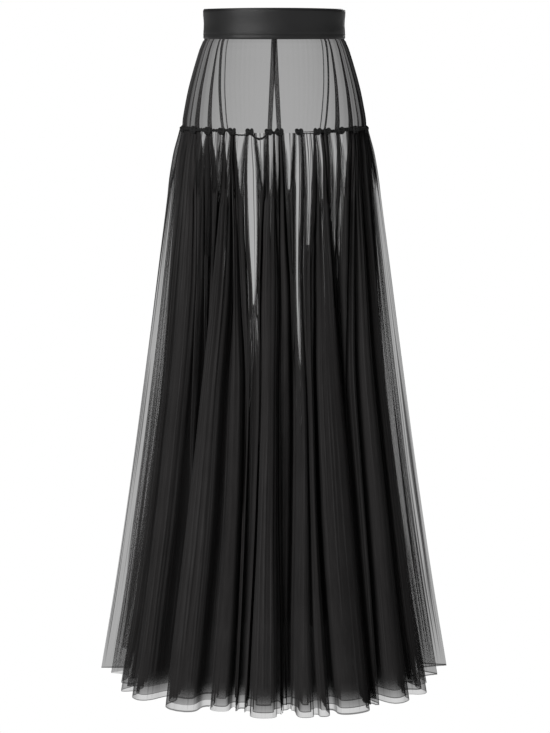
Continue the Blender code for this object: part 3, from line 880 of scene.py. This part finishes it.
def build_yoke(material):
    """The front and back of the yoke, sheer cloth with flat pleats, seamed at the sides."""
    back_pleats = [
        pleat._replace(band=behind(pleat.band), hip=behind(pleat.hip)) for pleat in reversed(FRONT_PLEATS)
    ]
    shares = np.linspace(0.0, 1.0, YOKE_ROWS) ** 1.2
    for half, pleats in (("front", FRONT_PLEATS), ("back", back_pleats)):
        rows = [yoke_columns(pleats, share) for share in shares]
        degrees = np.stack([row[0] for row in rows])
        standing = np.stack([row[1] for row in rows])
        z = (YOKE_TOP_Z + (YOKE_BOTTOM_Z - YOKE_TOP_Z) * shares)[:, None]
        tuck = YOKE_TUCK * np.clip((shares - 0.9) / 0.1, 0.0, 1.0)[:, None]
        tuck = tuck + BAND_TUCK * np.clip(1.0 - (YOKE_TOP_Z - z) / BAND_TUCK_HEIGHT, 0.0, 1.0) ** 0.5
        points = ring_points(z + 0.0 * degrees, degrees, tuck - standing)
        points[..., 2] -= hip_dip(degrees, shares[:, None] ** 2)
        run = np.zeros(degrees.shape[1])
        run[1:] = np.cumsum(np.linalg.norm(np.diff(points[-1], axis=0), axis=1))
        uv = np.stack(np.broadcast_arrays(run, z - YOKE_BOTTOM_Z + 0.01), axis=-1)
        piece = add_mesh(f"yoke_tulle_{half}", points, grid_faces(*degrees.shape), material, uv)
        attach(piece, "root")
        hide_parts(f"yoke_{half}")


# ---- The hip cord and the waistband ----


def tube(path, radius, sides, closed=False):
    """Points and faces of a tube along a path."""
    if closed:
        ahead = np.roll(path, -1, axis=0) - np.roll(path, 1, axis=0)
    else:
        ahead = np.gradient(path, axis=0)
    ahead /= np.linalg.norm(ahead, axis=1)[:, None]
    side = np.cross(ahead[0], (0.3, 0.2, 1.0))
    frames = []
    for way in ahead:
        side = side - way * side.dot(way)
        side /= np.linalg.norm(side)
        frames.append((side, np.cross(way, side)))
    turn = np.linspace(0.0, FULL_TURN, sides, endpoint=False)
    rings = [
        centre + radius * (np.cos(turn)[:, None] * first + np.sin(turn)[:, None] * second)
        for centre, (first, second) in zip(path, frames)
    ]
    return np.concatenate(rings), grid_faces(len(path), sides, closed=True, ring=closed)


def join(parts):
    """One set of points and faces from several."""
    points, faces, start = [], [], 0
    for part_points, part_faces in parts:
        points.append(part_points)
        faces.append(part_faces + start)
        start += len(part_points)
    return np.concatenate(points), np.concatenate(faces)


def hip_point(degrees, out, up):
    """Points on the hip line, moved outwards and up."""
    points = ring_points(np.full_like(degrees, HIP_Z), degrees, -out)
    points[..., 2] += up - hip_dip(degrees, 1.0)
    return points


def cord_stretch(stretch, rng):
    """The cord from one knot to the next: strands twisted round each other, sagging a little between them."""
    width = abs(stretch.end - stretch.start) * metres_per_degree(HIP_Z, (stretch.start + stretch.end) / 2.0)
    way = np.linspace(0.0, 1.0, max(12, int(width / CORD_STEP)))
    sag = 4.0 * way * (1.0 - way) * stretch.sag + stretch.low
    degrees = stretch.start + (stretch.end - stretch.start) * way
    parts = []
    phase = rng.uniform(0.0, FULL_TURN)
    for strand in range(stretch.strands):
        turn = FULL_TURN * (way * width / TWIST_LENGTH + strand / stretch.strands) + phase
        lay = stretch.strand * 0.85 if stretch.strands > 1 else 0.0
        path = hip_point(degrees, 0.0005 + lay * np.cos(turn), lay * np.sin(turn) - sag)
        parts.append(tube(path, stretch.strand, 7))
    return parts


def tied_knot(place, rng):
    """A small pulled knot: two loops of cord side by side, leaning apart, and a turn across their middle."""
    t = np.linspace(0.0, FULL_TURN, 26, endpoint=False)
    degree = metres_per_degree(HIP_Z, place)
    size = rng.uniform(0.92, 1.08)
    parts = []
    for side in (-1.0, 1.0):
        lean = side * rng.uniform(0.15, 0.5)
        wide = np.cos(t) * (KNOT_HALF_WIDTH * 0.52 - KNOT_STRAND * 0.6)
        tall = np.sin(t) * (KNOT_HALF_HEIGHT - KNOT_STRAND)
        across = (side * KNOT_HALF_WIDTH * 0.46 + wide * math.cos(lean) + tall * math.sin(lean)) * size
        up = (tall * math.cos(lean) - wide * math.sin(lean)) * size - KNOT_DROP
        out = 0.0016 + 0.0016 * np.cos(t) * side + rng.uniform(-0.0004, 0.0004)
        parts.append(tube(hip_point(place + across / degree, out, up), KNOT_STRAND, 8, closed=True))
    turn = np.linspace(0.0, math.pi, 12)
    across = np.cos(turn) * KNOT_HALF_WIDTH * 0.8
    up = -KNOT_DROP - 0.0012 * np.cos(turn)
    path = hip_point(place + across / degree, 0.0005 + 0.0036 * np.sin(turn), up)
    parts.append(tube(path, KNOT_STRAND * 0.85, 8))
    return parts


def build_hip_cord(material):
    """The cord tied round the hip, knotted where the gathers hang, front and back."""
    rng = np.random.default_rng(11)
    parts = []
    for place in FRONT_KNOTS:
        parts += tied_knot(place, rng)
        parts += tied_knot(behind(place), rng)
    for stretch in FRONT_STRETCHES:
        parts += cord_stretch(stretch, rng)
        if stretch.start > -90.0:
            mirrored = stretch._replace(start=behind(stretch.end), end=behind(stretch.start))
            parts += cord_stretch(mirrored, rng)
    right = FRONT_STRETCHES[0]
    parts += cord_stretch(right._replace(start=-right.end, end=-right.start), rng)
    points, faces = join(parts)
    piece = add_mesh("hip_cord_tied", points, faces, material)
    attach(piece, "root")
    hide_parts("hip_cord")


def band_profile():
    """Across the band from its lower inner edge round the outside, as heights and how far in each lies."""
    low, high, rounding = -BAND_HALF_HEIGHT, BAND_HALF_HEIGHT, BAND_ROUNDING
    corner = rounding * (1.0 - math.sin(math.pi / 4.0))
    seam = low + TURNING_HEIGHT
    return (
        (low + rounding, BAND_WALL),
        (low + corner, BAND_WALL - corner),
        (low, BAND_WALL - rounding),
        (low, rounding),
        (low + corner, corner),
        (low + rounding, 0.0),
        (low + 0.0030, -0.0002),
        (seam - 0.0008, 0.0),
        (seam, 0.0002),
        (seam + 0.0008, 0.0),
        *((height, 0.0) for height in BAND_PLAIN_HEIGHTS),
        (0.0208, -0.0001),
        (0.0218, 0.0002),
        (0.0228, -0.0002),
        (high - rounding, 0.0),
        (high - corner, corner),
        (high, rounding),
        (high, BAND_WALL - rounding),
        (high - corner, BAND_WALL - corner),
        (high - rounding, BAND_WALL),
        (0.0, BAND_WALL),
    )


def band_rise(z, degrees):
    """How far the upper half of the band rises at the centre front and back."""
    return BAND_CROWN * max(z, 0.0) / BAND_HALF_HEIGHT * np.cos(np.radians(degrees)) ** 2


def build_waistband(material, thread):
    """The satin-faced elastic band, with its stitched edges."""
    turn = np.linspace(0.0, 360.0, BAND_COLUMNS, endpoint=False)
    rows = []
    for z, inset in band_profile():
        near_edge = math.exp(-((z + BAND_HALF_HEIGHT) / 0.010) ** 2)
        pull = BAND_PULL * np.sin(np.radians(turn * 21.0) + z * 90.0) * near_edge
        row = ring_points(np.full_like(turn, z), turn, inset + pull + 0.0001)
        row[:, 2] += band_rise(z, turn)
        rows.append(row)
    points = np.stack(rows)
    faces = grid_faces(len(rows), BAND_COLUMNS, closed=True, ring=True)
    band = add_mesh("waistband_satin", points, faces[:, ::-1], material)
    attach(band, "root")
    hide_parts("waistband")

    parts = []
    for height in STITCH_LINES:
        start = 0.0
        while start < 360.0:
            step = STITCH_STEP / metres_per_degree(height, start)
            degrees = start + np.linspace(0.0, STITCH_LENGTH / STITCH_STEP, 4) * step
            path = ring_points(np.full(4, height), degrees, -np.array(STITCH_LIFT))
            path[:, 2] += band_rise(height, degrees)
            parts.append(tube(path, STITCH_RADIUS, 5))
            start += step
    points, faces = join(parts)
    stitches = add_mesh("waistband_stitches", points, faces, thread)
    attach(stitches, "root")


yoke_tulle = make_tulle("tulle_yoke", (0.036, 0.035, 0.035), clear=0.60, net_pitch=0.0012)
outer_tulle = make_tulle("tulle_outer", (0.036, 0.035, 0.035), clear=0.64, net_pitch=0.0012, creased=3.0)
under_tulle = make_tulle(
    "tulle_under", (0.030, 0.028, 0.028), clear=0.07, net_pitch=0.0010, edge_clear=0.86, hem_clear=0.55
)
build_waistband(make_satin("satin"), make_cord("thread"))
build_yoke(yoke_tulle)
build_hip_cord(make_cord("cord"))
build_skirt(outer_tulle, under_tulle)

# ---- Camera, light and floor ----

SOFT_BOX = (1.4, 2.2)
SURROUNDING_LIGHT = 0.10
FLOOR_REACH = 12.0
FLOOR_GAP = 0.03


def add_camera():
    """In front of the skirt at the height of the waistband, tipped down to see all of it."""
    camera = add_object("camera", bpy.data.cameras.new("camera"))
    camera.location = (0.0013, -3.4, 0.0)
    camera.rotation_euler = (math.radians(90.0 - 9.84), 0.0, 0.0)
    camera.data.lens = 97.0
    camera.data.sensor_width = 36.0
    bpy.context.scene.camera = camera


def add_area_light(name, location, aim_z, power):
    """A soft box that shines at the middle of the skirt, at the height aim_z."""
    light = bpy.data.lights.new(name, "AREA")
    light.shape = "RECTANGLE"
    light.size, light.size_y = SOFT_BOX
    light.energy = power
    lamp = add_object(name, light)
    lamp.location = location
    way = (0.0, 0.0, aim_z) - np.array(location)
    tip = math.acos(-way[2] / np.linalg.norm(way))
    lamp.rotation_euler = (tip, 0.0, math.atan2(way[1], way[0]) - math.pi / 2.0)


def add_studio():
    """White surroundings, dimmer as light than they look, three soft boxes and the floor."""
    scene = bpy.context.scene
    scene.view_settings.view_transform = "Standard"
    world = bpy.data.worlds.new("studio")
    world.use_nodes = True
    scene.world = world
    tree = world.node_tree
    background = tree.nodes["Background"]
    background.inputs["Color"].default_value = (1.0, 1.0, 1.0, 1.0)
    seen = tree.nodes.new("ShaderNodeLightPath").outputs["Is Camera Ray"]
    strength = tree.nodes.new("ShaderNodeMapRange")
    strength.inputs["To Min"].default_value = SURROUNDING_LIGHT
    strength.inputs["To Max"].default_value = 1.0
    tree.links.new(seen, strength.inputs["Value"])
    tree.links.new(strength.outputs[0], background.inputs["Strength"])

    add_area_light("key", (-2.0, -3.0, 1.4), -0.5, 175.0)
    add_area_light("fill", (2.4, -2.2, 0.4), -0.6, 10.0)
    add_area_light("behind", (1.2, 3.4, 1.4), -0.5, 110.0)

    white = Nodes("floor").shade(
        Base_Color=(0.0, 0.0, 0.0, 1.0),
        Specular_IOR_Level=0.0,
        Emission_Color=(1.0, 1.0, 1.0, 1.0),
        Emission_Strength=1.0,
    )
    sides = ((-1, -1), (1, -1), (1, 1), (-1, 1))
    corners = [(x * FLOOR_REACH, y * FLOOR_REACH, HEM_Z - FLOOR_GAP) for x, y in sides]
    floor = add_mesh("floor", corners, [(0, 1, 2, 3)], white)
    floor.visible_diffuse = False


add_camera()
add_studio()
